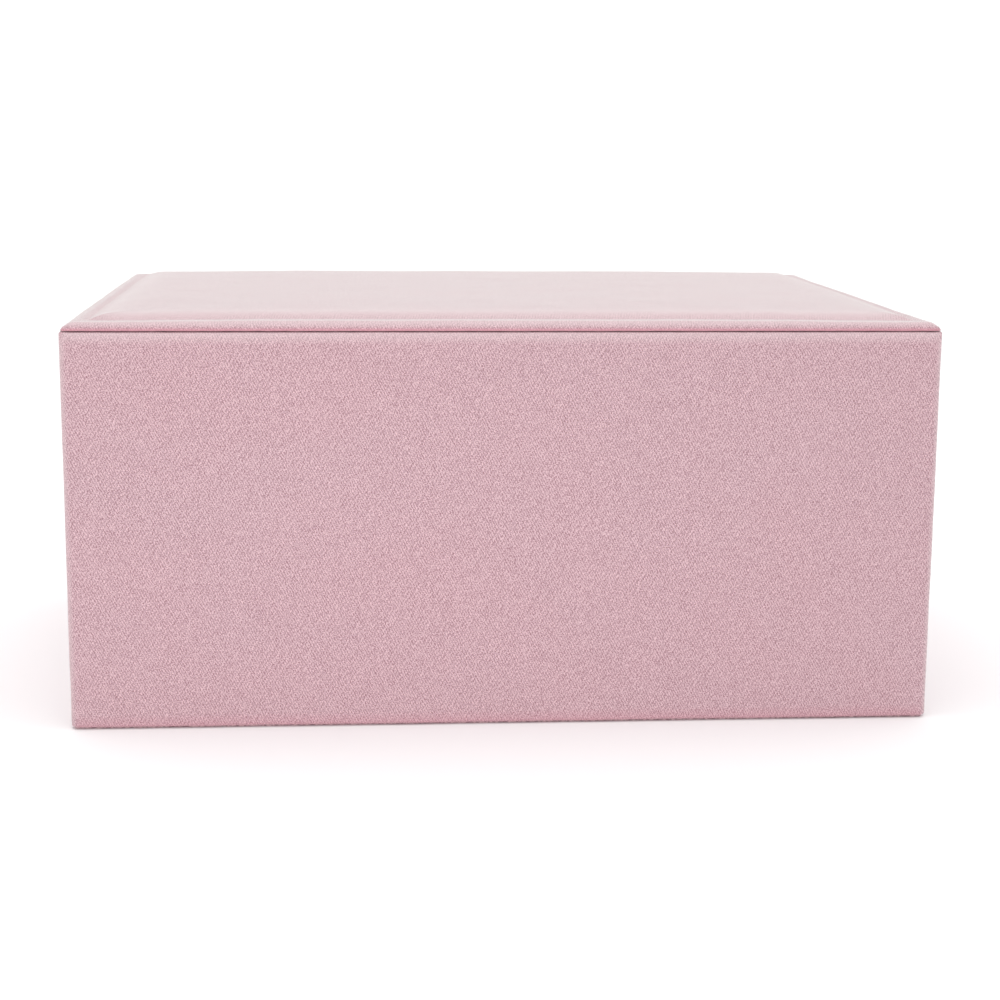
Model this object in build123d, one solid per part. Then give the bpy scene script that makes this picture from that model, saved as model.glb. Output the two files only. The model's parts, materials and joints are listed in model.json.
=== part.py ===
from build123d import *
import os

# Jewelry box: a cloth-covered board box with a padded lid on a cloth hinge, and a half-length tray
# that slides on two ledges above the lower bays. Millimetres, +X to the right, +Y to the back, +Z up.
# The origin is the middle of the underside.

# Driving sizes of the closed box
WIDTH = 250.0
DEPTH = 184.0
RIM_Z = 114.35  # top of the cloth on the walls
LID_Z = 114.55  # underside of the lid, 0.2 above the rim
RIDGE_Z = 117.3  # rounded rim and flat border round the lid
PAD_Z = 118.3  # edge of the lid's padding
TOP_Z = 120.0  # middle of the lid's padding
CLOTH = 0.6  # pressed thickness of the covering cloth
HINGE_CLOTH = 0.5
MAX_OPEN_DEG = 97.0

# Carcass
BASE_SHEET = 0.6
WALL = 5.2
BASE_BOARD = 4.0
CORNER = 1.6  # outer radius of the upright edges
TURN_IN = 15.0  # depth of the cover's turn-in inside the walls
LINING = 1.8
LINING_TOP = 112.6
FLOOR_PAD = 2.0

# Where the faces of the carcass lie, from the sizes above
HALF_X = WIDTH / 2
FRONT_Y = -DEPTH / 2
BACK_Y = DEPTH / 2 - HINGE_CLOTH
WALL_X = HALF_X - CLOTH
WALL_FRONT = FRONT_Y + CLOTH
WALL_BACK = BACK_Y - CLOTH
WALL_BOTTOM = BASE_SHEET + CLOTH
WALL_TOP = RIM_Z - CLOTH
CAVITY_X = WALL_X - WALL
CAVITY_FRONT = WALL_FRONT + WALL
CAVITY_BACK = WALL_BACK - WALL
ROOM_X = CAVITY_X - LINING
ROOM_FRONT = CAVITY_FRONT + LINING
ROOM_BACK = CAVITY_BACK - LINING
FLOOR_Z = WALL_BOTTOM + BASE_BOARD + FLOOR_PAD
HINGE_Y = DEPTH / 2 - HINGE_CLOTH / 2
HINGE_Z = (RIM_Z + LID_Z) / 2

# Lid
LID_INSET_X = 0.3  # the lid is this much narrower than the body on each side
LID_CORNER = 2.2
LID_RIM_ROUND = 1.5
SIDE_BEVEL = (4.8, 1.8)  # how far in and how far down the sides of the lid are bevelled
BORDER = 6.8  # width of the flat border round the padding
PAD_SLOPE = 7.2  # width over which the padding rises
PAD_CROWN = 55.0  # inset of the padding's highest part
LID_TURN_IN = 14.0
LID_PANEL = 5.0
PANEL_GAP = 1.2  # play between the nested panel and the linings
MIRROR_SIZE = (194.0, 134.0, 2.0)
FRAME_BAND = 6.0
FRAME_LIP = 2.0
FRAME_LIP_THICK = 0.6

# Magnets
MAGNET_X = 62.0
MAGNET_R = 2.0
WALL_MAGNET_DEEP = 3.0
LID_MAGNET_DEEP = 1.3

# Tray, which slides along X on the ledges
RAIL_TOP = 70.0
RAIL_HIGH = 9.0
RAIL_DEEP = 6.0
TRAY_LIFT = 0.3  # running play above the ledges
TRAY_SIDE_PLAY = 0.9
TRAY_END_GAP = 3.0  # room for the folded stays beside the tray
TRAY_LONG = 128.0
TRAY_HIGH = 30.0
TRAY_WALL = 3.0
TRAY_FLOOR = 2.5
TRAY_PAD = 1.0
ROLLS = 6
ROLL_WIDE = 12.6
ROLL_PITCH = 13.0
ROLL_HIGH = 24.0
ROLL_PLAY = 0.1
PULL_WIDE = 14.0
PULL_THICK = 1.0
PULL_ABOVE = 5.5
PULL_BELOW = 12.0

# Lower level
PARTITION_X = 12.0
PARTITION = 3.0
PARTITION_HIGH = 52.0
DIVIDER_HIGH = 44.0
BAY_SPLIT_LEFT_Y = 4.0
BAY_SPLIT_RIGHT_Y = -12.0
PILLOW = (54.0, 68.0, 42.0)
PILLOW_ROUND = 13.0

# Ribbon stays, folded flat between the side linings and the tray
STAY_WIDE = 7.0
STAY_THICK = 0.8
STAY_RADIUS = 70.0  # distance of both stitched ends from the hinge line
STAY_FOLD = 25.0
STAY_Z = 102.6
STAY_OFF = 0.2


def block(x, y, z):
    """A box from pairs of low and high limits."""
    size = [high - low for low, high in (x, y, z)]
    return Pos(*[(low + high) / 2 for low, high in (x, y, z)]) * Box(*size)


def outline_at(x, y, z, corner):
    """A rounded rectangle at a height."""
    middle = Pos((x[0] + x[1]) / 2, (y[0] + y[1]) / 2, z)
    return middle * RectangleRounded(x[1] - x[0], y[1] - y[0], corner)


def plate(x, y, z, corner):
    """A box with rounded upright edges."""
    return extrude(outline_at(x, y, z[0], corner), amount=z[1] - z[0])


def wider(limits, by):
    return limits[0] - by, limits[1] + by


def magnet_discs(bottom, high):
    """The pair of magnets over the middle of the front wall's thickness."""
    y, z = WALL_FRONT + WALL / 2, bottom + high / 2
    return [Pos(x, y, z) * Cylinder(MAGNET_R, high) for x in (-MAGNET_X, MAGNET_X)]


def carcass_walls():
    """Four butt-jointed walls with the outer upright edges eased."""
    y = (WALL_FRONT, WALL_BACK)
    z = (WALL_BOTTOM, WALL_TOP)
    shell = plate((-WALL_X, WALL_X), y, z, CORNER - CLOTH)
    inside = block((-CAVITY_X, CAVITY_X), (CAVITY_FRONT, CAVITY_BACK), wider(z, 1))
    shell = shell - inside
    magnets = magnet_discs(WALL_TOP - WALL_MAGNET_DEEP, WALL_MAGNET_DEEP)
    ends = (CAVITY_FRONT, CAVITY_BACK)
    return {
        "front_wall": shell & block((-WALL_X, WALL_X), (WALL_FRONT, CAVITY_FRONT), z) - magnets,
        "back_wall": shell & block((-WALL_X, WALL_X), (CAVITY_BACK, WALL_BACK), z),
        "left_wall": shell & block((-WALL_X, -CAVITY_X), ends, z),
        "right_wall": shell & block((CAVITY_X, WALL_X), ends, z),
        "wall_magnets": Compound(children=magnets),
    }


def outer_cover():
    """The covering cloth: outside, over the rim, down inside the walls and a little way under them."""
    y = (FRONT_Y, BACK_Y)
    skin = plate((-HALF_X, HALF_X), y, (BASE_SHEET, RIM_Z), CORNER)
    walls = plate((-WALL_X, WALL_X), (WALL_FRONT, WALL_BACK), (WALL_BOTTOM, WALL_TOP), CORNER - CLOTH)
    cavity = ((-CAVITY_X, CAVITY_X), (CAVITY_FRONT, CAVITY_BACK))
    opening = block(wider(cavity[0], -CLOTH), wider(cavity[1], -CLOTH), (0, RIM_Z + 1))
    turned_in = block(*cavity, (WALL_TOP - TURN_IN, WALL_TOP))
    return skin - walls - opening + (turned_in - opening)


def base_parts():
    cavity = ((-CAVITY_X, CAVITY_X), (CAVITY_FRONT, CAVITY_BACK))
    board_z = (WALL_BOTTOM, WALL_BOTTOM + BASE_BOARD)
    sheet_y = (FRONT_Y + 2 * CLOTH, BACK_Y - 2 * CLOTH)
    sheet_x = wider((-HALF_X, HALF_X), -2 * CLOTH)
    return {
        "base_sheet": plate(sheet_x, sheet_y, (0, BASE_SHEET), CORNER),
        "base_board": block(*cavity, board_z),
        "floor_pad": block((-ROOM_X, ROOM_X), (ROOM_FRONT, ROOM_BACK), (board_z[1], FLOOR_Z)),
    }


def linings():
    """Cloth-wrapped cards on the four walls, rebated where the cover is turned in behind them."""
    z = (WALL_BOTTOM + BASE_BOARD, LINING_TOP)
    cavity = ((-CAVITY_X, CAVITY_X), (CAVITY_FRONT, CAVITY_BACK))
    room = block((-ROOM_X, ROOM_X), (ROOM_FRONT, ROOM_BACK), wider(z, 1))
    behind = block(*cavity, (WALL_TOP - TURN_IN, WALL_TOP)) - block(
        wider(cavity[0], -CLOTH), wider(cavity[1], -CLOTH), (0, RIM_Z)
    )
    ring = block(*cavity, z) - room - behind
    ends = (ROOM_FRONT, ROOM_BACK)
    return {
        "lining_front": ring & block(cavity[0], (CAVITY_FRONT, ROOM_FRONT), z),
        "lining_back": ring & block(cavity[0], (ROOM_BACK, CAVITY_BACK), z),
        "lining_left": ring & block((-CAVITY_X, -ROOM_X), ends, z),
        "lining_right": ring & block((ROOM_X, CAVITY_X), ends, z),
    }


def lower_level():
    """Ledges for the tray, the partition and dividers between the bays, and two watch pillows."""
    rail_z = (RAIL_TOP - RAIL_HIGH, RAIL_TOP)
    room_x = (-ROOM_X, ROOM_X)
    part_x = (PARTITION_X - PARTITION / 2, PARTITION_X + PARTITION / 2)
    divider_z = (FLOOR_Z, FLOOR_Z + DIVIDER_HIGH)
    split_left = (BAY_SPLIT_LEFT_Y - PARTITION / 2, BAY_SPLIT_LEFT_Y + PARTITION / 2)
    split_right = (BAY_SPLIT_RIGHT_Y - PARTITION / 2, BAY_SPLIT_RIGHT_Y + PARTITION / 2)
    parts = {
        "tray_rail_front": block(room_x, (ROOM_FRONT, ROOM_FRONT + RAIL_DEEP), rail_z),
        "tray_rail_back": block(room_x, (ROOM_BACK - RAIL_DEEP, ROOM_BACK), rail_z),
        "bay_partition": block(part_x, (ROOM_FRONT, ROOM_BACK), (FLOOR_Z, FLOOR_Z + PARTITION_HIGH)),
        "bay_divider_left": block((-ROOM_X, part_x[0]), split_left, divider_z),
        "bay_divider_right": block((part_x[1], ROOM_X), split_right, divider_z),
    }
    bay_middle = (split_left[0] + ROOM_FRONT) / 2
    bay_long = part_x[0] + ROOM_X
    for name, share in (("watch_pillow_left", 0.25), ("watch_pillow_right", 0.75)):
        middle = Pos(-ROOM_X + share * bay_long, bay_middle, FLOOR_Z + PILLOW[2] / 2)
        cushion = Box(*PILLOW)
        long_edges = cushion.edges().filter_by(Axis.Y)
        parts[name] = middle * fillet(long_edges, PILLOW_ROUND)
    return parts


def lid_outline():
    """Limits of the lid in plan."""
    return wider((-HALF_X, HALF_X), -LID_INSET_X), (FRONT_Y, BACK_Y)


def side_bevels(x, top):
    """Wedges that bevel both sides of the lid, for a slab with these limits and this top."""
    wide, high = SIDE_BEVEL
    wedges = []
    for edge, inward in ((x[0], 1), (x[1], -1)):
        corners = [(edge, top - high), (edge + inward * wide, top), (edge, top)]
        outline = Plane.XZ * make_face(Polyline(*corners, close=True))
        wedges.append(extrude(outline, amount=DEPTH, both=True))
    return wedges


def padding(x, y, edge_z, top_z, foot_z, inset):
    """The raised middle of the lid: a steep edge and a low crown."""
    crown = inset + PAD_SLOPE
    foot, edge, middle = [(inset, foot_z), (crown, edge_z), (PAD_CROWN, top_z)]
    levels = [outline_at(wider(x, -i), wider(y, -i), z, LID_CORNER) for i, z in (foot, edge, middle)]
    return loft(levels[:2]) + loft(levels[1:])


def lid_parts():
    x, y = lid_outline()
    board_x, board_y = wider(x, -CLOTH), wider(y, -CLOTH)
    board_z = (LID_Z + CLOTH, RIDGE_Z - CLOTH)
    rim = plate(x, y, (LID_Z, RIDGE_Z), LID_CORNER)
    rim = fillet(rim.faces().sort_by(Axis.Z)[-1].edges(), LID_RIM_ROUND) - side_bevels(x, RIDGE_Z)
    board = plate(board_x, board_y, board_z, LID_CORNER - CLOTH)
    board = fillet(board.faces().sort_by(Axis.Z)[-1].edges(), LID_RIM_ROUND - CLOTH)
    board -= side_bevels(x, RIDGE_Z - CLOTH)
    pad = padding(x, y, PAD_Z, TOP_Z, RIDGE_Z - CLOTH / 2, BORDER)
    foam = padding(x, y, PAD_Z - CLOTH, TOP_Z - CLOTH, board_z[1], BORDER + CLOTH)
    field = block(wider(x, -LID_TURN_IN), wider(y, -LID_TURN_IN), (LID_Z, board_z[0]))
    magnets = magnet_discs(board_z[0], LID_MAGNET_DEEP)
    panel_x = wider((-ROOM_X, ROOM_X), -PANEL_GAP)
    panel_y = wider((ROOM_FRONT, ROOM_BACK), -PANEL_GAP)
    panel = plate(panel_x, panel_y, (LID_Z - LID_PANEL, LID_Z), LID_CORNER / 2)
    return {
        "lid_board": board - magnets,
        "lid_foam": foam,
        "lid_cover": rim + pad - board - foam - field,
        "lid_panel": panel + field,
        "lid_magnets": Compound(children=magnets),
    }


def mirror_parts():
    """The mirror behind a cloth-wrapped frame, under the lid's inner panel."""
    wide, deep, thick = MIRROR_SIZE
    top = LID_Z - LID_PANEL
    middle_y = (ROOM_FRONT + ROOM_BACK) / 2
    x, y = (-wide / 2, wide / 2), (middle_y - deep / 2, middle_y + deep / 2)
    band_z = (top - thick - FRAME_LIP_THICK, top)
    frame = plate(wider(x, FRAME_BAND), wider(y, FRAME_BAND), band_z, FRAME_BAND / 2)
    glass = block(x, y, (top - thick, top))
    sight = block(wider(x, -FRAME_LIP), wider(y, -FRAME_LIP), wider(band_z, 1))
    return {"mirror_frame": frame - glass - sight, "mirror": glass}


def hinge_cloths():
    """The two glued flaps of the cloth hinge, which stop just short of the fold between them."""
    y = (BACK_Y, BACK_Y + HINGE_CLOTH)
    x = wider(lid_outline()[0], -LID_CORNER)
    fold = HINGE_CLOTH
    return {
        "hinge_cloth_lower": block(x, y, (HINGE_Z - TURN_IN, HINGE_Z - fold)),
        "hinge_cloth_upper": block(x, y, (HINGE_Z + fold, RIDGE_Z - LID_RIM_ROUND)),
    }


def ribbon_stays():
    """Each stay as it lies folded flat against the side lining."""
    end_y = HINGE_Y - STAY_RADIUS
    y = (end_y - STAY_WIDE / 2, end_y + STAY_FOLD)
    z = (STAY_Z, STAY_Z + STAY_WIDE)
    near = ROOM_X - STAY_OFF
    return {
        "ribbon_stay_left": block((-near, -near + STAY_THICK), y, z),
        "ribbon_stay_right": block((near - STAY_THICK, near), y, z),
    }


def tray_limits():
    """The tray's outer limits at rest, at the left end of its travel."""
    x0 = -ROOM_X + TRAY_END_GAP
    y = wider((ROOM_FRONT, ROOM_BACK), -TRAY_SIDE_PLAY)
    z0 = RAIL_TOP + TRAY_LIFT
    return (x0, x0 + TRAY_LONG), y, (z0, z0 + TRAY_HIGH)


def tray_parts():
    x, y, z = tray_limits()
    inner_x, inner_y = wider(x, -TRAY_WALL), wider(y, -TRAY_WALL)
    wall_z = (z[0] + TRAY_FLOOR, z[1])
    pad_z = (wall_z[0], wall_z[0] + TRAY_PAD)
    rolls_deep = ROLLS * ROLL_PITCH
    split_y = (inner_y[1] - rolls_deep - TRAY_WALL, inner_y[1] - rolls_deep)
    middle_x = (inner_x[0] + inner_x[1]) / 2
    divider_x = (middle_x - TRAY_WALL / 2, middle_x + TRAY_WALL / 2)
    inner_top = z[1] - TRAY_WALL
    parts = {
        "tray_floor": block(x, y, (z[0], wall_z[0])),
        "tray_front_wall": block(x, (y[0], inner_y[0]), wall_z),
        "tray_back_wall": block(x, (inner_y[1], y[1]), wall_z),
        "tray_left_end": block((x[0], inner_x[0]), inner_y, wall_z),
        "tray_right_end": block((inner_x[1], x[1]), inner_y, wall_z),
        "tray_floor_pad": block(inner_x, inner_y, pad_z),
        "tray_partition": block(inner_x, split_y, (pad_z[1], inner_top)),
        "tray_divider": block(divider_x, (inner_y[0], split_y[0]), (pad_z[1], inner_top)),
    }
    parts["tray_pull"] = tray_pull(inner_x[1], (inner_y[0] + split_y[0]) / 2, z[1])
    for n in range(ROLLS):
        middle_y = split_y[1] + (n + 0.5) * ROLL_PITCH
        parts[f"ring_roll_{n + 1}"] = ring_roll(inner_x, middle_y, pad_z[1] + ROLL_PLAY)
    return parts


def tray_pull(face_x, middle_y, top):
    """A folded ribbon glued to the inside of the tray's right end, rounded where it is folded."""
    x = (face_x - PULL_THICK, face_x)
    y = (middle_y - PULL_WIDE / 2, middle_y + PULL_WIDE / 2)
    ribbon = block(x, y, (top - PULL_BELOW, top + PULL_ABOVE))
    fold = ribbon.faces().sort_by(Axis.Z)[-1].edges().filter_by(Axis.Y)
    return fillet(fold, 0.48 * PULL_THICK)


def ring_roll(x, middle_y, bottom):
    """A foam strip with a rounded top, one of a row that rings are pushed between."""
    radius = ROLL_WIDE / 2
    x = wider(x, -ROLL_PLAY)
    y = (middle_y - radius, middle_y + radius)
    crown_z = bottom + ROLL_HIGH - radius
    crown = Pos((x[0] + x[1]) / 2, middle_y, crown_z) * Rot(0, 90, 0) * Cylinder(radius, x[1] - x[0])
    return block(x, y, (bottom, crown_z)) + crown


def report_joints():
    """The joint lines and travels that go with these solids."""
    x = tray_limits()[0]
    travel = ROOM_X - TRAY_END_GAP - x[1]
    line = f"y {HINGE_Y:.3f}, z {HINGE_Z:.3f}"
    print(f"lid_hinge: along -X through {line}, 0 to {MAX_OPEN_DEG:.0f} degrees")
    print(f"tray_slide: along +X, 0 to {travel:.3f} mm")


def main():
    parts = carcass_walls() | base_parts() | linings() | lower_level() | hinge_cloths() | ribbon_stays()
    parts |= lid_parts() | mirror_parts() | tray_parts()
    parts["outer_cover"] = outer_cover()
    os.makedirs("parts", exist_ok=True)
    for name, shape in parts.items():
        export_step(shape, f"parts/{name}.step")
    report_joints()


main()
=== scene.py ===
import json
import math

import bmesh
import bpy
import numpy as np
from mathutils import Euler, Matrix, Vector, noise


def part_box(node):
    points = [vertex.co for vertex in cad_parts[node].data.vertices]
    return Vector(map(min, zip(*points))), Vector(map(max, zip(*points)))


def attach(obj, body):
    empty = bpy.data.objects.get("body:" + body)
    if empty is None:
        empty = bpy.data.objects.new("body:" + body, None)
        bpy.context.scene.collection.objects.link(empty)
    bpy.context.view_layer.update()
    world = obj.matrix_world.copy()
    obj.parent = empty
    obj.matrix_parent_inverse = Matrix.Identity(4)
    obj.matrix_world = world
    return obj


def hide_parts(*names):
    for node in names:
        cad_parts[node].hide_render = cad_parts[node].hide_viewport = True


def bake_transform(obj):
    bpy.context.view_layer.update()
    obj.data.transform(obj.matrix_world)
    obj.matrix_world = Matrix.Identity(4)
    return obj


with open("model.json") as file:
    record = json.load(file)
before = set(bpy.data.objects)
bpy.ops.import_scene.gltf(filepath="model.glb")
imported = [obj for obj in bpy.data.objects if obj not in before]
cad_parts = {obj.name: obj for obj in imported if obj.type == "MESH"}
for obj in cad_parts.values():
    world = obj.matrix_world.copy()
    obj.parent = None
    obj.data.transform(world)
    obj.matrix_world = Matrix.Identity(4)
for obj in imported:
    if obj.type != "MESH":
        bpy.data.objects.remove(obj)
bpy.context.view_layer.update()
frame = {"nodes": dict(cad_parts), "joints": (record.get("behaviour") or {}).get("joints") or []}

# Looks of the cloth-covered jewelry box. Metres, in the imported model's frame.
MM = 0.001
NODES = frame["nodes"]
HINGE = next(j for j in frame["joints"] if j["name"] == "lid_hinge")
HINGE_Y, HINGE_Z = HINGE["pos_m"][1], HINGE["pos_m"][2]
OPEN = math.radians(HINGE["range_deg"][1])
BODY_LOW, BODY_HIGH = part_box("outer_cover")
LID_LOW, LID_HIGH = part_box("lid_cover")
CLOTH = 0.6 * MM


# ---------------------------------------------------------------- meshes

def mesh_object(name, points, faces, smooth=True):
    """A new object from points and faces, with doubled points merged and normals outward."""
    mesh = bpy.data.meshes.new(name)
    mesh.from_pydata([tuple(p) for p in points], [], faces)
    tidy = bmesh.new()
    tidy.from_mesh(mesh)
    bmesh.ops.remove_doubles(tidy, verts=tidy.verts, dist=0.002 * MM)
    bmesh.ops.recalc_face_normals(tidy, faces=tidy.faces)
    tidy.to_mesh(mesh)
    tidy.free()
    mesh.polygons.foreach_set("use_smooth", [smooth] * len(mesh.polygons))
    obj = bpy.data.objects.new(name, mesh)
    bpy.context.scene.collection.objects.link(obj)
    return obj


def coordinates(obj):
    co = np.zeros(len(obj.data.vertices) * 3)
    obj.data.vertices.foreach_get("co", co)
    return co.reshape(-1, 3)


def set_coordinates(obj, co):
    obj.data.vertices.foreach_set("co", np.asarray(co, float).ravel())
    obj.data.update()


def roughen(obj, amount, size, seed, level=None):
    """Moves points along their normals by smooth noise, as hand-wrapped cloth is never quite flat.

    Points within a millimetre of the height called level keep their height.
    """
    co = coordinates(obj)
    height = co[:, 2].copy()
    shift = Vector((seed * 3.1, seed * 1.7, seed * 2.3))
    for k, vertex in enumerate(obj.data.vertices):
        co[k] += np.array(vertex.normal) * amount * noise.noise(vertex.co / size + shift)
    if level is not None:
        co[:, 2] = np.where(abs(height - level) < MM, height, co[:, 2])
    set_coordinates(obj, co)


def ring(x, y, radius, z, cell, arc=6):
    """Points once round a rounded rectangle. Every ring with the same cell counts has as many."""
    corners = (
        ((x[1] - radius, y[0] + radius), -90),
        ((x[1] - radius, y[1] - radius), 0),
        ((x[0] + radius, y[1] - radius), 90),
        ((x[0] + radius, y[0] + radius), 180),
    )
    points = []
    for n, ((cx, cy), start) in enumerate(corners):
        for k in range(arc):
            angle = math.radians(start + 90 * k / arc)
            points.append((cx + radius * math.cos(angle), cy + radius * math.sin(angle), z))
        after, turn = corners[(n + 1) % 4][0], math.radians(start + 90)
        step = (radius * math.cos(turn), radius * math.sin(turn))
        first = np.array((cx + step[0], cy + step[1], z))
        last = np.array((after[0] + step[0], after[1] + step[1], z))
        count = cell[n % 2]
        points += [tuple(first + (last - first) * k / count) for k in range(count)]
    return points


def loft(name, rings, apart=None):
    """Skins rings of points, the last one to the first. Ring number apart isn't joined to the next."""
    count, faces = len(rings[0]), []
    for a in range(len(rings)):
        if a == apart:
            continue
        b = (a + 1) % len(rings)
        for k in range(count):
            after = (k + 1) % count
            faces.append((a * count + k, a * count + after, b * count + after, b * count + k))
    return mesh_object(name, [p for r in rings for p in r], faces)


def stops(low, high, radius, cell, arc=5):
    """Grid lines along one axis of a box: close over its rounding and even between."""
    ease = [radius * (1 - math.cos(k * math.pi / (2 * arc))) for k in range(arc)]
    count = max(2, round((high - low - 2 * radius) / cell) + 1)
    middle = np.linspace(low + radius, high - radius, count)
    return np.concatenate([[low + e for e in ease], middle, [high - e for e in reversed(ease)]])


def soft_box(name, low, high, radius, cell=4 * MM, puff=(0, 0, 0)):
    """A closed box with rounded edges in an even grid. puff bulges each pair of faces, in metres."""
    lines = [stops(low[k], high[k], radius, cell) for k in range(3)]
    points, faces = [], []
    for axis in range(3):
        across, up = (axis + 1) % 3, (axis + 2) % 3
        for side in (lines[axis][0], lines[axis][-1]):
            base = len(points)
            for a in lines[across]:
                for b in lines[up]:
                    point = [0.0, 0.0, 0.0]
                    point[axis], point[across], point[up] = side, a, b
                    points.append(point)
            wide, tall = len(lines[across]), len(lines[up])
            for i in range(wide - 1):
                for j in range(tall - 1):
                    k = base + i * tall + j
                    faces.append((k, k + tall, k + tall + 1, k + 1))
    p = np.array(points)
    low, high = np.array(low), np.array(high)
    core = np.clip(p, low + radius, high - radius)
    out = p - core
    length = np.linalg.norm(out, axis=1, keepdims=True)
    p = core + out / np.maximum(length, 1e-12) * radius
    share = (p - (low + high) / 2) / ((high - low) / 2)
    hill = 1 - share ** 2
    for k in range(3):
        p[:, k] += puff[k] * share[:, k] * hill[:, (k + 1) % 3] * hill[:, (k + 2) % 3]
    obj = mesh_object(name, p, faces)
    co = coordinates(obj)
    # Painted highlight along the rounded edges.
    rounding = np.abs(co - np.clip(co, low + radius, high - radius)) / radius
    set_painted_light(obj, 0.8 * np.sort(rounding, axis=1)[:, 1])
    return obj


def strip(name, line, across, thickness, steps):
    """A flat band: the points of line, each swept across, with a Solidify modifier for its thickness."""
    points, faces = [], []
    for p in line:
        points += [tuple(Vector(p) + Vector(across) * (k / steps - 0.5)) for k in range(steps + 1)]
    for n in range(len(line) - 1):
        for k in range(steps):
            a = n * (steps + 1) + k
            faces.append((a, a + 1, a + steps + 2, a + steps + 1))
    obj = mesh_object(name, points, faces)
    thicken(obj, thickness)
    return obj


def thicken(obj, thickness):
    solid = obj.modifiers.new("Solidify", "SOLIDIFY")
    solid.thickness = thickness
    solid.offset = 0


def finish_piece(obj, body, material, replaces=()):
    obj.data.materials.append(material)
    if body:
        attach(obj, body)
    if replaces:
        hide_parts(*replaces)
    return obj


# ---------------------------------------------------------------- materials

class Graph:
    """A material's nodes, with short calls to add and join them."""

    def __init__(self, name):
        self.material = bpy.data.materials.new(name)
        self.material.use_nodes = True
        self.tree = self.material.node_tree
        self.shader = self.tree.nodes["Principled BSDF"]
        self.place = self.add("ShaderNodeTexCoord").outputs["Object"]

    def add(self, kind, settings=None, **inputs):
        node = self.tree.nodes.new(kind)
        for key, value in (settings or {}).items():
            setattr(node, key, value)
        for key, value in inputs.items():
            self.put(node.inputs[key.replace("_", " ")], value)
        return node

    def put(self, socket, value):
        if isinstance(value, bpy.types.NodeSocket):
            self.tree.links.new(value, socket)
        else:
            socket.default_value = value

    def noise(self, size, detail=2.0, distortion=0.0, stretch=(1, 1, 1)):
        """Noise whose features are about size metres across."""
        tilt = (0.5, 0.3, 0.7)  # so that no face of the box lies along the noise's own grid
        tilted = self.add("ShaderNodeMapping", Vector=self.place, Scale=stretch, Rotation=tilt)
        node = self.add(
            "ShaderNodeTexNoise", Vector=tilted.outputs["Vector"], Scale=0.5 / size, Detail=detail,
            Distortion=distortion,
        )
        return node.outputs["Fac"]

    def wander(self, size, amount):
        """Every point's place, shifted by noise up to about amount, so that threads there are not ruled."""
        node = self.add("ShaderNodeTexNoise", Vector=self.place, Scale=0.5 / size, Detail=0.0)
        drift = self.vector("SUBTRACT", node.outputs["Color"], (0.5, 0.5, 0.5))
        return self.vector("ADD", self.place, self.vector("SCALE", drift, amount))

    def threads(self, place, per_metre):
        """A wave from -1 to 1 with so many threads to the metre along each axis."""
        turns = [2 * math.pi * count for count in per_metre]
        return self.math("SINE", self.vector("DOT_PRODUCT", place, turns))

    def vector(self, operation, a, b):
        node = self.add("ShaderNodeVectorMath", {"operation": operation})
        self.put(node.inputs[0], a)
        self.put(node.inputs["Scale" if operation == "SCALE" else 1], b)
        return node.outputs["Value" if operation == "DOT_PRODUCT" else "Vector"]

    def spread(self, value, low, high, to_low=0.0, to_high=1.0):
        node = self.add("ShaderNodeMapRange", Value=value)
        node.inputs["From Min"].default_value = low
        node.inputs["From Max"].default_value = high
        node.inputs["To Min"].default_value = to_low
        node.inputs["To Max"].default_value = to_high
        return node.outputs["Result"]

    def math(self, operation, *values):
        node = self.add("ShaderNodeMath", {"operation": operation})
        for socket, value in zip(node.inputs, values):
            self.put(socket, value)
        return node.outputs[0]

    def mix(self, factor, a, b, blend="MIX"):
        node = self.add("ShaderNodeMix", {"data_type": "RGBA", "blend_type": blend})
        self.put(node.inputs[0], factor)
        self.put(node.inputs[6], a if isinstance(a, bpy.types.NodeSocket) else (*a, 1))
        self.put(node.inputs[7], b if isinstance(b, bpy.types.NodeSocket) else (*b, 1))
        return node.outputs[2]

    def bump(self, height, depth):
        node = self.add("ShaderNodeBump", Height=height, Distance=depth, Strength=1.0)
        self.put(self.shader.inputs["Normal"], node.outputs["Normal"])

    def set(self, **inputs):
        for key, value in inputs.items():
            if isinstance(value, tuple) and len(value) == 3:
                value = (*value, 1)
            self.put(self.shader.inputs[key.replace("_", " ")], value)
        return self.material


# Threads to the metre along x, y and z of the two crossing ribs that show through the pile
WARP, WEFT = (840, -950, -510), (1300, -500, 680)


def napped_cloth(name, deep, pale, shade_color, highlight_color, grain, weave, relief, sheen, sheen_rough, sheen_tint):
    """Short pile: pale tips over deep roots, thinned along the weave's ribs, on faint brushed patches, with
    painted highlight and painted shade mixed in from values stored on the points.
    """
    g = Graph(name)
    place = g.wander(0.9 * MM, 0.45 * MM)
    ribs = g.math("MULTIPLY", g.threads(place, WARP), 0.2 * weave)
    ribs = g.math("MULTIPLY_ADD", g.threads(place, WEFT), 0.36 * weave, ribs)
    height = g.math("MULTIPLY_ADD", g.noise(grain, detail=0.0), 4.6, g.math("SUBTRACT", ribs, 2.3))
    color = g.mix(g.spread(height, -0.95, 0.95), deep, pale)
    patches = g.noise(24 * MM, detail=3.0, distortion=0.8)
    tone = g.mix(g.spread(patches, 0.3, 0.7), (1.0, 0.99, 0.99), (0.985, 1.0, 1.0))
    color = g.mix(1.0, color, tone, "MULTIPLY")
    # Painted light: a stored value above 0 mixes in painted highlight (the lighter colour), below 0 painted
    # shade (the deeper colour).
    painted_light = g.add("ShaderNodeAttribute", {"attribute_name": "painted_light"}).outputs["Fac"]
    color = g.mix(g.spread(painted_light, 0, 1.6, 0, 0.8), color, highlight_color)
    color = g.mix(g.spread(painted_light, 0, -1, 0, 0.9), color, shade_color)
    g.bump(height, relief)
    return g.set(
        Base_Color=color, Roughness=0.95, Sheen_Weight=sheen, Sheen_Roughness=sheen_rough,
        Sheen_Tint=sheen_tint, Specular_IOR_Level=0.1,
    )


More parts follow.
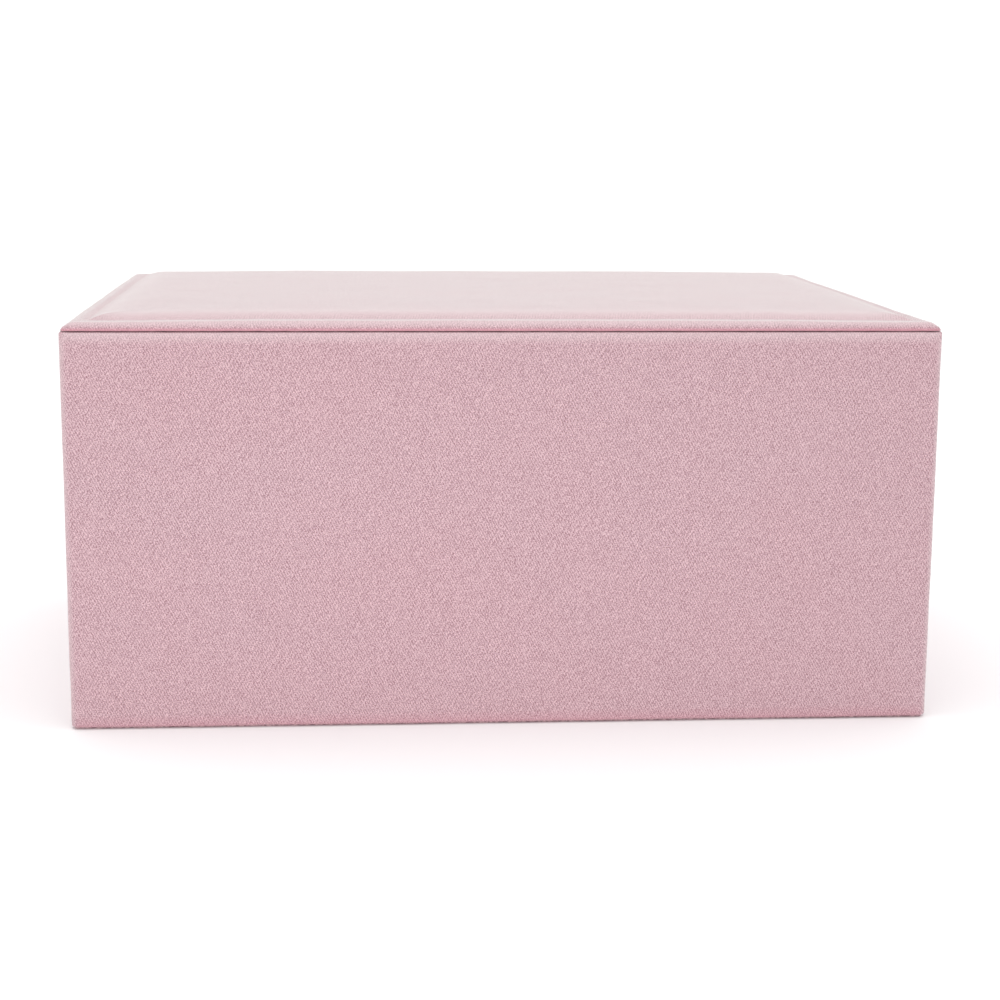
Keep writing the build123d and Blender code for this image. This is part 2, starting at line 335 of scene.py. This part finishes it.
def satin_ribbon():
    """Ribbon with a fine uneven surface and a soft shine."""
    g = Graph("ribbon")
    grain = g.noise(0.35 * MM, detail=0.0)
    shade = g.noise(6 * MM, detail=2.0)
    color = g.mix(g.spread(shade, 0.3, 0.7), (0.62, 0.36, 0.40), (0.70, 0.43, 0.46))
    g.bump(grain, 0.05 * MM)
    return g.set(Base_Color=color, Roughness=0.42, Sheen_Weight=0.2, Sheen_Roughness=0.4)


def bare_board():
    g = Graph("board")
    fibres = g.noise(0.5 * MM, detail=4.0, stretch=(1, 0.3, 1))
    color = g.mix(fibres, (0.33, 0.24, 0.16), (0.50, 0.39, 0.27))
    g.bump(fibres, 0.06 * MM)
    return g.set(Base_Color=color, Roughness=0.8)


def pad_foam():
    g = Graph("foam")
    cells = g.add("ShaderNodeTexVoronoi", Vector=g.place, Scale=1 / (0.8 * MM)).outputs["Distance"]
    g.bump(cells, 0.2 * MM)
    return g.set(Base_Color=g.mix(cells, (0.80, 0.78, 0.70), (0.90, 0.89, 0.84)), Roughness=0.9)


def nickel():
    g = Graph("magnet")
    smears = g.noise(2 * MM, detail=3.0)
    return g.set(Base_Color=(0.62, 0.60, 0.57), Metallic=1.0, Roughness=g.spread(smears, 0.3, 0.7, 0.25, 0.4))


def silvered_glass():
    g = Graph("mirror")
    haze = g.noise(22 * MM, detail=4.0)
    return g.set(Base_Color=(0.90, 0.92, 0.92), Metallic=1.0, Roughness=g.spread(haze, 0.4, 0.8, 0.015, 0.05))


def pale_floor():
    g = Graph("floor")
    tone = g.noise(0.4, detail=2.0)
    return g.set(Base_Color=g.mix(tone, (0.94, 0.94, 0.94), (0.96, 0.96, 0.96)), Roughness=0.85)


# In each cloth below, the third colour is painted shade and the fourth is painted highlight, mixed in where
# values stored on the points call for them.
COVER = napped_cloth(
    "cover_cloth", deep=(0.304, 0.166, 0.193), pale=(0.725, 0.51, 0.55), shade_color=(0.55, 0.25, 0.30),
    highlight_color=(0.70, 0.575, 0.585),
    grain=0.11 * MM, weave=1.0, relief=0.01 * MM, sheen=1.0, sheen_rough=0.35, sheen_tint=(0.87, 0.90, 0.87),
)
# A deeper, less shiny copy of the cover: painted shade for the faces in the gap between lid and body and
# beyond it.
COVER_SHADED = napped_cloth(
    "cover_painted_shade", deep=(0.30, 0.155, 0.18), pale=(0.70, 0.46, 0.50), shade_color=(0.50, 0.22, 0.27),
    highlight_color=(0.68, 0.46, 0.50), grain=0.11 * MM, weave=1.0, relief=0.01 * MM, sheen=0.6, sheen_rough=0.35,
    sheen_tint=(0.9, 0.8, 0.81),
)
LINING = napped_cloth(
    "lining_velvet", deep=(0.56, 0.37, 0.38), pale=(0.86, 0.68, 0.68), shade_color=(0.60, 0.38, 0.40),
    highlight_color=(0.88, 0.74, 0.73),
    grain=0.14 * MM, weave=0.0, relief=0.01 * MM, sheen=0.8, sheen_rough=0.3, sheen_tint=(1.0, 0.98, 0.97),
)
FELT = napped_cloth(
    "base_felt", deep=(0.26, 0.15, 0.17), pale=(0.60, 0.40, 0.43), shade_color=(0.30, 0.16, 0.18),
    highlight_color=(0.62, 0.44, 0.46),
    grain=0.4 * MM, weave=0.0, relief=0.03 * MM, sheen=0.2, sheen_rough=0.6, sheen_tint=(1.0, 1.0, 1.0),
)
RIBBON, BOARD, FOAM = satin_ribbon(), bare_board(), pad_foam()
NICKEL, MIRROR = nickel(), silvered_glass()


# ---------------------------------------------------------------- outside

CELL = 1 * MM
CORNER = 2.4 * MM
UNDER, TURNED_IN = 6.4 * MM, 15 * MM  # the body cover's turn under the base and over the rim, and down inside

# Both covers share the amount, size and seed of their slow waves, so that the gap between them stays even.
SLOW_WAVES = (0.12 * MM, 16 * MM)
FINE_WAVES = (0.06 * MM, 2 * MM)


def profile_rings(low, high, corner, profile):
    """Rings round a rounded rectangle, one for each (inset front and back, inset at the sides, height)."""
    counts = round((high.x - low.x) / CELL), round((high.y - low.y) / CELL)
    half, rings = (high.y - low.y) / 2, []
    for front, side, z in profile:
        radius = min(max(corner - min(front, side), 0.15 * MM), half - front)
        rings.append(ring((low.x + side, high.x - side), (low.y + front, high.y - front), radius, z, counts))
    return rings


def quarter(center, radius, start, end, steps=6):
    """(inset, inset, height) on an arc; 0 degrees points inward and 90 up."""
    profile = []
    for k in range(steps + 1):
        angle = math.radians(start + (end - start) * k / steps)
        inset = center[0] + radius * math.cos(angle)
        profile.append((inset, inset, center[1] + radius * math.sin(angle)))
    return profile


def edge_distances(co, low, high):
    """Each point's distance inside the outline, from the nearer side and the nearer of front and back."""
    across = np.minimum(co[:, 0] - low.x, high.x - co[:, 0])
    return across, np.minimum(co[:, 1] - low.y, high.y - co[:, 1])


def smooth(share):
    share = np.clip(share, 0, 1)
    return share * share * (3 - 2 * share)


def set_painted_light(obj, values):
    """Stores painted light for each point: above 0 painted highlight, below 0 painted shade."""
    layer = obj.data.attributes.new("painted_light", "FLOAT", "POINT")
    layer.data.foreach_set("value", np.asarray(values, np.float32))


def paint_shade_faces(obj, hidden):
    """Gives the faces whose points are all hidden, in the gap and beyond it, painted shade: the deeper, less
    shiny copy of the cover.
    """
    obj.data.materials.append(COVER_SHADED)
    for face in obj.data.polygons:
        if all(hidden[k] for k in face.vertices):
            face.material_index = 1


def body_profile(bottom, top):
    """From under the walls up the outside, over the rim and down inside, then back under the cloth."""
    ease, foot, t, rows = 0.6 * MM, 0.7 * MM, CLOTH, 38
    wall_low, wall_high = bottom + foot, top - ease
    wall = [wall_low + (wall_high - wall_low) * k / rows for k in range(1, rows)]
    outer = [(UNDER, UNDER, bottom)] + quarter((foot, wall_low), foot, 270, 180, 4)
    outer += [(0, 0, z) for z in wall]
    outer += quarter((ease, top - ease), ease, 180, 90) + quarter((UNDER - ease, top - ease), ease, 90, 0)
    outer += [(UNDER, UNDER, top - TURNED_IN)]
    inner = [(UNDER - t, UNDER - t, top - TURNED_IN)]
    inner += quarter((UNDER - ease, top - ease), ease - t, 0, 90)
    inner += quarter((ease, top - ease), ease - t, 90, 180) + [(t, t, z) for z in reversed(wall[::5])]
    return outer + inner + [(t, t, bottom + t), (UNDER, UNDER, bottom + t)]


def body_painted_light(co, bottom, top):
    """Painted highlight on the rim and down the corners, painted shade along the foot and in the gap just
    inside the rim.
    """
    across, along = edge_distances(co, BODY_LOW, BODY_HIGH)
    edge = np.minimum(across, along)
    rim = smooth((co[:, 2] - top + 1.4 * MM) / (1.2 * MM)) * smooth(0.9 - edge / (0.8 * MM))
    corner = smooth(1 - np.hypot(across, along) / (2.2 * MM))
    gap = np.exp(-(((edge - 0.8 * MM) / (0.4 * MM)) ** 2)) * (co[:, 2] > top - MM)
    foot_line = smooth(1 - (co[:, 2] - bottom) / (1.5 * MM))
    # Painted highlight where the rim and corners round over, painted shade in the gap and along the foot.
    return 1.2 * rim + corner * (1 - rim) - 0.6 * foot_line - 0.9 * gap


def body_cloth():
    """The cloth round the body, turned in over the rim and under the base."""
    bottom, top = BODY_LOW.z, BODY_HIGH.z
    obj = loft("body_cloth", profile_rings(BODY_LOW, BODY_HIGH, CORNER, body_profile(bottom, top)))
    lap_back_seam(obj)
    roughen(obj, *SLOW_WAVES, seed=1, level=top)
    roughen(obj, *FINE_WAVES, seed=4)
    co = coordinates(obj)
    # Painted highlight and painted shade, stored on the points for the cloth's colour.
    set_painted_light(obj, body_painted_light(co, bottom, top))
    finish_piece(obj, "box", COVER, ["outer_cover"])
    across, along = edge_distances(co, BODY_LOW, BODY_HIGH)
    # Painted shade on the faces in the gap and inside the rim.
    paint_shade_faces(obj, (co[:, 2] > top - 0.1 * MM) | (np.minimum(across, along) > 2 * MM))


def lap_back_seam(obj):
    """The cloth's two ends lap on the back wall, near its right edge, where the upper one stands proud."""
    left, right, rise, ramp = 94 * MM, 110 * MM, 0.4 * MM, 0.8 * MM
    co = coordinates(obj)
    at_back = co[:, 1] > BODY_HIGH.y - 0.3 * MM
    x = co[:, 0]
    lift = np.clip((x - left) / ramp, 0, 1) * np.clip((right - x) / (8 * MM), 0, 1)
    co[at_back, 1] += rise * lift[at_back]
    set_coordinates(obj, co)


# The lid's edge as (inset at the front and back, inset at the sides, height over the underside), in mm.
# The sides are more bevelled than the front, as where a cloth is pulled harder over an edge.
LID_RIM = (
    (0.7, 0.7, 0.06), (0.3, 0.3, 0.08), (0.06, 0.14, 0.19), (0.0, 0.3, 0.46), (0.0, 0.8, 1.1),
    (0.12, 1.6, 1.6), (0.45, 2.3, 2.06), (0.95, 3.0, 2.39), (1.55, 3.7, 2.52), (2.3, 4.4, 2.55),
    (3.3, 5.1, 2.53), (4.6, 5.7, 2.49), (5.8, 6.2, 2.45), (6.5, 6.6, 2.43), (6.9, 6.9, 2.44),
    (7.3, 7.3, 2.52), (7.9, 7.9, 2.74), (8.7, 8.7, 3.05), (9.7, 9.7, 3.41), (10.9, 10.9, 3.76),
    (12.2, 12.2, 4.03), (13.8, 13.8, 4.21), (16.0, 16.0, 4.34), (20.0, 20.0, 4.42), (24.0, 24.0, 4.46),
)
RIDGE, CREASE, SHOULDER, PAD = 1.55 * MM, 6.9 * MM, 11 * MM, 24 * MM


def lid_rings(low, high, turned):
    """The cover's rings, and the number of the one at the middle of its top."""
    half, t = (high.y - low.y) / 2, CLOTH
    rim = [(front * MM, side * MM, low.z + z * MM) for front, side, z in LID_RIM]
    flat = [PAD + (half - PAD) * k / 30 for k in range(1, 31)]
    outer = [(turned, turned, low.z)] + rim + [(d, d, rim[-1][2]) for d in flat]
    inner = [(d, d, rim[-1][2] - t) for d in reversed(flat[4::5])]
    for front, side, z in reversed(rim):
        inner.append((max(front, t) + t / 2, max(side, t) + t / 2, max(z - t, low.z + t)))
    inner.append((turned, turned, low.z + t))
    return profile_rings(low, high, CORNER, outer + inner), len(outer) - 1


def lid_painted_light(co, low, high):
    """Painted highlight on the ridge and round the padding's shoulder, painted shade in the crease and
    underneath.
    """
    across, along = edge_distances(co, low, high)
    edge = np.minimum(across, along)
    ridge = smooth((co[:, 2] - low.z - 0.6 * MM) / (1.8 * MM)) * smooth(2.2 - along / RIDGE)
    crease = np.exp(-(((across - CREASE) / (0.6 * MM)) ** 2)) * (across < along)
    at_side = smooth(0.5 + (along - across) / (16 * MM))
    shoulder = np.exp(-(((edge - SHOULDER) / (5.5 * MM)) ** 2)) * (edge > CREASE) * (1 - 0.6 * at_side)
    underneath = smooth(1 - (co[:, 2] - low.z) / (1.5 * MM)) * smooth(2 - edge / (2 * MM))
    # Painted highlight on the ridge and shoulder, painted shade in the crease and along the underside.
    return 1.1 * ridge + 1.1 * shoulder - 0.3 * crease - underneath


def lid_cloth():
    """The cloth over the lid: turned under its board, a rolled rim, a border, and the padded middle."""
    low, high, turned, edge_height = LID_LOW, LID_HIGH, 14 * MM, 3.5 * MM
    rings, middle = lid_rings(low, high, turned)
    obj = loft("lid_cloth", rings, apart=middle)
    co = coordinates(obj)
    across, along = edge_distances(co, low, high)
    co[:, 2] -= side_press(co, across, along)
    co[:, 2] += pad_rise(co, across, along)
    set_coordinates(obj, co)
    roughen(obj, *SLOW_WAVES, seed=1, level=low.z)
    roughen(obj, *FINE_WAVES, seed=5)
    # Painted highlight and painted shade, stored on the points for the cloth's colour.
    set_painted_light(obj, lid_painted_light(co, low, high))
    finish_piece(obj, "lid", COVER, ["lid_cover"])
    # Painted shade on the faces underneath, in the gap.
    paint_shade_faces(obj, co[:, 2] < low.z + 0.2 * MM)


def side_press(co, across, along):
    """Away from the corners the cloth is pulled down over the sides, to a plain slope up to the padding."""
    limit = LID_LOW.z + 0.75 * MM + 0.376 * across
    over = np.maximum(0, co[:, 2] - limit) * (across < CREASE)
    return over * smooth(along / (50 * MM))


def pad_rise(co, across, along):
    """How much the padding lifts the lid's cloth toward the middle. The lower edge stays where it is."""
    u = smooth(np.maximum(0, across - CREASE) / (60 * MM))
    v = smooth(np.maximum(0, along - CREASE) / (45 * MM))
    return MM * (0.4 * u + 0.3 * v) * smooth((co[:, 2] - LID_LOW.z) / (2 * MM))


def hinge_strip():
    """The cloth strip that joins lid and body at the back, with a soft bead along its fold."""
    low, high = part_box("hinge_cloth_lower")[0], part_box("hinge_cloth_upper")[1]
    bead, spread, steps = 0.35 * MM, 0.7 * MM, 46
    line = []
    for k in range(steps + 1):
        z = low.z + (high.z - low.z) * k / steps
        line.append((0, HINGE_Y + 0.1 * MM + bead * math.exp(-(((z - HINGE_Z) / spread) ** 2)), z))
    obj = strip("hinge_strip", line, (high.x - low.x, 0, 0), 0.45 * MM, 90)
    roughen(obj, 0.06 * MM, 9 * MM, seed=3)
    finish_piece(obj, None, COVER, ["hinge_cloth_lower", "hinge_cloth_upper"])
    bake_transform(obj)


def base_felt():
    low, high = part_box("base_sheet")
    obj = soft_box("base_felt", low, high, 0.25 * MM, 5 * MM)
    finish_piece(obj, "box", FELT, ["base_sheet"])


# ---------------------------------------------------------------- inside

def wrapped_board(node, body, radius, name=None, puff=(0, 0, 0), cell=4 * MM, seed=5):
    """A card or board wrapped in the lining velvet, in the place of its CAD node."""
    low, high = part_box(node)
    obj = soft_box(name or "velvet_" + node, low, high, radius, cell, puff)
    roughen(obj, 0.05 * MM, 11 * MM, seed)
    return finish_piece(obj, body, LINING, [node])


def linings():
    sides = {"lining_front": 1, "lining_back": 1, "lining_left": 0, "lining_right": 0}
    for n, (node, axis) in enumerate(sides.items()):
        puff = [0, 0, 0]
        puff[axis] = 0.12 * MM
        wrapped_board(node, "box", 0.75 * MM, puff=puff, seed=10 + n)
    pad = wrapped_board("floor_pad", "box", 0.8 * MM, puff=(0, 0, 0.3 * MM), seed=15)


def lower_level():
    for n, node in enumerate(("tray_rail_front", "tray_rail_back")):
        wrapped_board(node, "box", 0.8 * MM, seed=20 + n)
    for n, node in enumerate(("bay_partition", "bay_divider_left", "bay_divider_right")):
        wrapped_board(node, "box", 1.2 * MM, seed=25 + n)


def inflate(obj, voxel, cap, pressure=4.0, frames=20):
    """Swells a closed mesh with cloth pressure. No point moves further than cap from where it began."""
    remesh = obj.modifiers.new("Remesh", "REMESH")
    remesh.mode = "VOXEL"
    remesh.voxel_size = voxel
    apply_modifiers(obj)
    start = coordinates(obj)
    cloth = obj.modifiers.new("Cloth", "CLOTH")
    cloth.settings.use_pressure = True
    cloth.settings.uniform_pressure_force = pressure
    cloth.settings.effector_weights.gravity = 0
    for k in range(1, frames + 1):
        bpy.context.scene.frame_set(k)
    swollen = obj.evaluated_get(bpy.context.evaluated_depsgraph_get())
    moved = np.array([v.co[:] for v in swollen.data.vertices]) - start
    obj.modifiers.remove(cloth)
    bpy.context.scene.frame_set(1)
    length = np.linalg.norm(moved, axis=1, keepdims=True)
    set_coordinates(obj, start + moved * np.minimum(1, cap / np.maximum(length, 1e-9)))
    smoother = obj.modifiers.new("Subdivision", "SUBSURF")
    smoother.levels = 1
    apply_modifiers(obj)


def apply_modifiers(obj):
    done = obj.evaluated_get(bpy.context.evaluated_depsgraph_get())
    mesh = bpy.data.meshes.new_from_object(done)
    obj.modifiers.clear()
    obj.data = mesh
    mesh.polygons.foreach_set("use_smooth", [True] * len(mesh.polygons))


def watch_pillow(node, name, seed):
    """A stuffed pillow that a watch or bracelet is strapped round, with a seam near each end."""
    low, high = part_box(node)
    swell = 2.2 * MM
    margin = Vector((swell, swell, swell))
    obj = soft_box(name, low + margin, high - margin, 11 * MM, 3.5 * MM)
    inflate(obj, 3.2 * MM, cap=swell + 1.2 * MM)
    co = coordinates(obj)
    middle = (low + high) / 2
    for side in (-1, 1):
        seam_y = middle.y + side * (high.y - low.y) * 0.36
        pinch = np.exp(-(((co[:, 1] - seam_y) / (0.9 * MM)) ** 2))
        for axis in (0, 2):
            co[:, axis] -= (co[:, axis] - middle[axis]) * 0.045 * pinch
    co[:, 2] = np.maximum(co[:, 2], low.z + 0.05 * MM)
    set_coordinates(obj, co)
    roughen(obj, 0.35 * MM, 14 * MM, seed)
    finish_piece(obj, "box", LINING, [node])


def tray():
    for n, node in enumerate(("tray_front_wall", "tray_back_wall", "tray_left_end", "tray_right_end")):
        wrapped_board(node, "tray", 1.2 * MM, seed=30 + n)
    for n, node in enumerate(("tray_partition", "tray_divider")):
        wrapped_board(node, "tray", 1.3 * MM, seed=35 + n)
    wrapped_board("tray_floor", "tray", 0.9 * MM, seed=38)
    pad = wrapped_board("tray_floor_pad", "tray", 0.45 * MM, seed=39)


def ring_rolls():
    """Foam strips in velvet. Rings are pushed down between their rounded tops."""
    rolls = sorted(n for n in NODES if n.startswith("ring_roll"))
    for n, node in enumerate(rolls):
        low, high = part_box(node)
        obj = soft_box("padded_" + node, low, high, 1.4 * MM, 2.2 * MM)
        co = coordinates(obj)
        middle, half = (low.y + high.y) / 2, (high.y - low.y) / 2
        crown = high.z - half
        above = np.clip((co[:, 2] - crown) / half, 0, 1)
        share = (co[:, 1] - middle) / half
        over = co[:, 2] > crown
        co[over, 1] = middle + half * share[over] * np.sqrt(1 - 0.97 * above[over] ** 2)
        set_coordinates(obj, co)
        roughen(obj, 0.3 * MM, 17 * MM, seed=40 + n)
        finish_piece(obj, "tray", LINING, [node])


def tray_pull():
    """A loop of ribbon glued inside the tray's right end wall."""
    low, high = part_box("tray_pull")
    x = (low.x + high.x) / 2
    y = (low.y + high.y) / 2
    loop_z, loop_r = high.z - 2.4 * MM, 1.9 * MM
    line = [(x - 0.25 * MM, y, low.z + (loop_z - 3 * MM - low.z) * k / 10) for k in range(11)]
    for k in range(25):
        angle = math.radians(205 - 230 * k / 24)
        line.append((x + loop_r * math.cos(angle), y, loop_z + loop_r * math.sin(angle)))
    line += [(x + 0.25 * MM, y, loop_z - 3 * MM - (loop_z - 3 * MM - low.z) * k / 10) for k in range(11)]
    obj = strip("ribbon_pull", line, (0, high.y - low.y, 0), 0.35 * MM, 10)
    finish_piece(obj, "tray", RIBBON, ["tray_pull"])


# ---------------------------------------------------------------- lid's inside and stays

def lid_inside():
    panel_low, panel_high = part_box("lid_panel")
    panel_high.z = LID_LOW.z - 0.05 * MM
    panel = soft_box("velvet_lid_panel", panel_low, panel_high, 1.4 * MM, 4 * MM)
    roughen(panel, 0.07 * MM, 12 * MM, seed=50)
    finish_piece(panel, "lid", LINING, ["lid_panel"])
    mirror_bezel()


def mirror_bezel():
    """A padded frame round the mirror: a half-round band whose inner lip holds the glass."""
    low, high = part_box("mirror_frame")
    glass_low, glass_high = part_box("mirror")
    lip = 2 * MM
    band = glass_low.x + lip - low.x
    thick = high.z - low.z
    profile = [(0, high.z)]
    for k in range(13):
        angle = math.pi * k / 12
        profile.append((band / 2 * (1 - math.cos(angle)), high.z - thick * math.sin(angle) ** 0.8))
    back = glass_low.z - 0.05 * MM
    profile += [(band - 0.3 * MM, back), (band / 2, back), (band / 2, high.z)]
    profile = [(inset, inset, z) for inset, z in profile]
    obj = loft("mirror_bezel", profile_rings(low, high, 5 * MM, profile))
    finish_piece(obj, "lid", COVER, ["mirror_frame"])


def swing(point, angle):
    """A point turned about the lid's hinge line, as the lid turns when it opens by angle."""
    turn = Matrix.Rotation(-angle, 3, "X")
    pivot = Vector((0, HINGE_Y, HINGE_Z))
    return pivot + turn @ (Vector(point) - pivot)


def ribbon_stay(side, name, node):
    """A stay in the shape it takes with the lid closed: the straight, tight stay at the lid's limit, each
    point turned back about the hinge, more toward the lid's end.
    """
    panel_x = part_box("lid_panel")[1].x
    lining_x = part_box("lining_right")[0].x
    box_x, lid_x = side * (lining_x - 0.3 * MM), side * (panel_x + 0.3 * MM)
    reach, width, steps, across = 70 * MM, 7 * MM, 60, 4
    box_end = Vector((box_x, HINGE_Y - reach, HINGE_Z - 10 * MM))
    lid_end = swing((lid_x, HINGE_Y - reach, HINGE_Z - 3.6 * MM), OPEN)
    along = lid_end - box_end
    wide = Vector((0, -along.z, along.y)).normalized() * width
    points, faces = [], []
    for n in range(steps + 1):
        share = n / steps
        turn = OPEN * share * share * (3 - 2 * share)
        for k in range(across + 1):
            open_point = box_end + along * share + wide * (k / across - 0.5)
            points.append(swing(open_point, -turn))
    for n in range(steps):
        for k in range(across):
            a = n * (across + 1) + k
            faces.append((a, a + 1, a + across + 2, a + across + 1))
    obj = mesh_object(name, points, faces)
    thicken(obj, 0.35 * MM)
    finish_piece(obj, None, RIBBON, [node])
    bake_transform(obj)


# ---------------------------------------------------------------- carried-over nodes, stage and camera

def carried_over():
    plain = {"front_wall", "back_wall", "left_wall", "right_wall", "base_board", "lid_board"}
    chosen = {n: BOARD for n in plain}
    chosen |= {"wall_magnets": NICKEL, "lid_magnets": NICKEL, "lid_foam": FOAM, "mirror": MIRROR}
    for node, material in chosen.items():
        NODES[node].data.materials.clear()
        NODES[node].data.materials.append(material)


def area_light(name, place, aim, size, power):
    data = bpy.data.lights.new(name, "AREA")
    data.shape = "RECTANGLE"
    data.size, data.size_y = size
    data.energy = power
    light = bpy.data.objects.new(name, data)
    light.location = place
    light.rotation_euler = (Vector(aim) - Vector(place)).to_track_quat("-Z", "Y").to_euler()
    light.visible_camera = False
    bpy.context.scene.collection.objects.link(light)


def stage():
    half = 6.0
    points = [(-half, -half, 0), (half, -half, 0), (half, half, 0), (-half, half, 0)]
    floor = mesh_object("floor", points, [(0, 1, 2, 3)])
    floor.data.materials.append(pale_floor())
    world = bpy.data.worlds.new("studio")
    world.use_nodes = True
    world.node_tree.nodes["Background"].inputs["Color"].default_value = (1, 1, 1, 1)
    world.node_tree.nodes["Background"].inputs["Strength"].default_value = 1.12
    bpy.context.scene.world = world
    area_light("overhead", (-0.1, 0.1, 1.6), (0, 0, 0.05), (1.6, 1.4), 5)
    area_light("front", (-0.05, -0.38, 0.012), (-0.05, -0.09, 0.03), (0.12, 0.02), 0.13)


def camera():
    """Seen from the front, a little above and left of the middle. Distances are in box widths."""
    width = BODY_HIGH.x - BODY_LOW.x
    data = bpy.data.cameras.new("camera")
    data.sensor_width = 36
    data.lens = 72.08
    view = bpy.data.objects.new("camera", data)
    view.location = (-0.178 * width, BODY_LOW.y - 2.2393 * width, 0.6878 * width)
    view.rotation_euler = Euler([math.radians(a) for a in (79.352, -0.418, -4.268)])
    bpy.context.scene.collection.objects.link(view)
    bpy.context.scene.camera = view
    bpy.context.scene.view_settings.view_transform = "Standard"


def main():
    camera()
    stage()
    carried_over()
    body_cloth()
    lid_cloth()
    hinge_strip()
    base_felt()
    linings()
    lower_level()
    watch_pillow("watch_pillow_left", "pillow_left", seed=60)
    watch_pillow("watch_pillow_right", "pillow_right", seed=61)
    tray()
    ring_rolls()
    tray_pull()
    lid_inside()
    ribbon_stay(-1, "stay_left", "ribbon_stay_left")
    ribbon_stay(1, "stay_right", "ribbon_stay_right")


main()
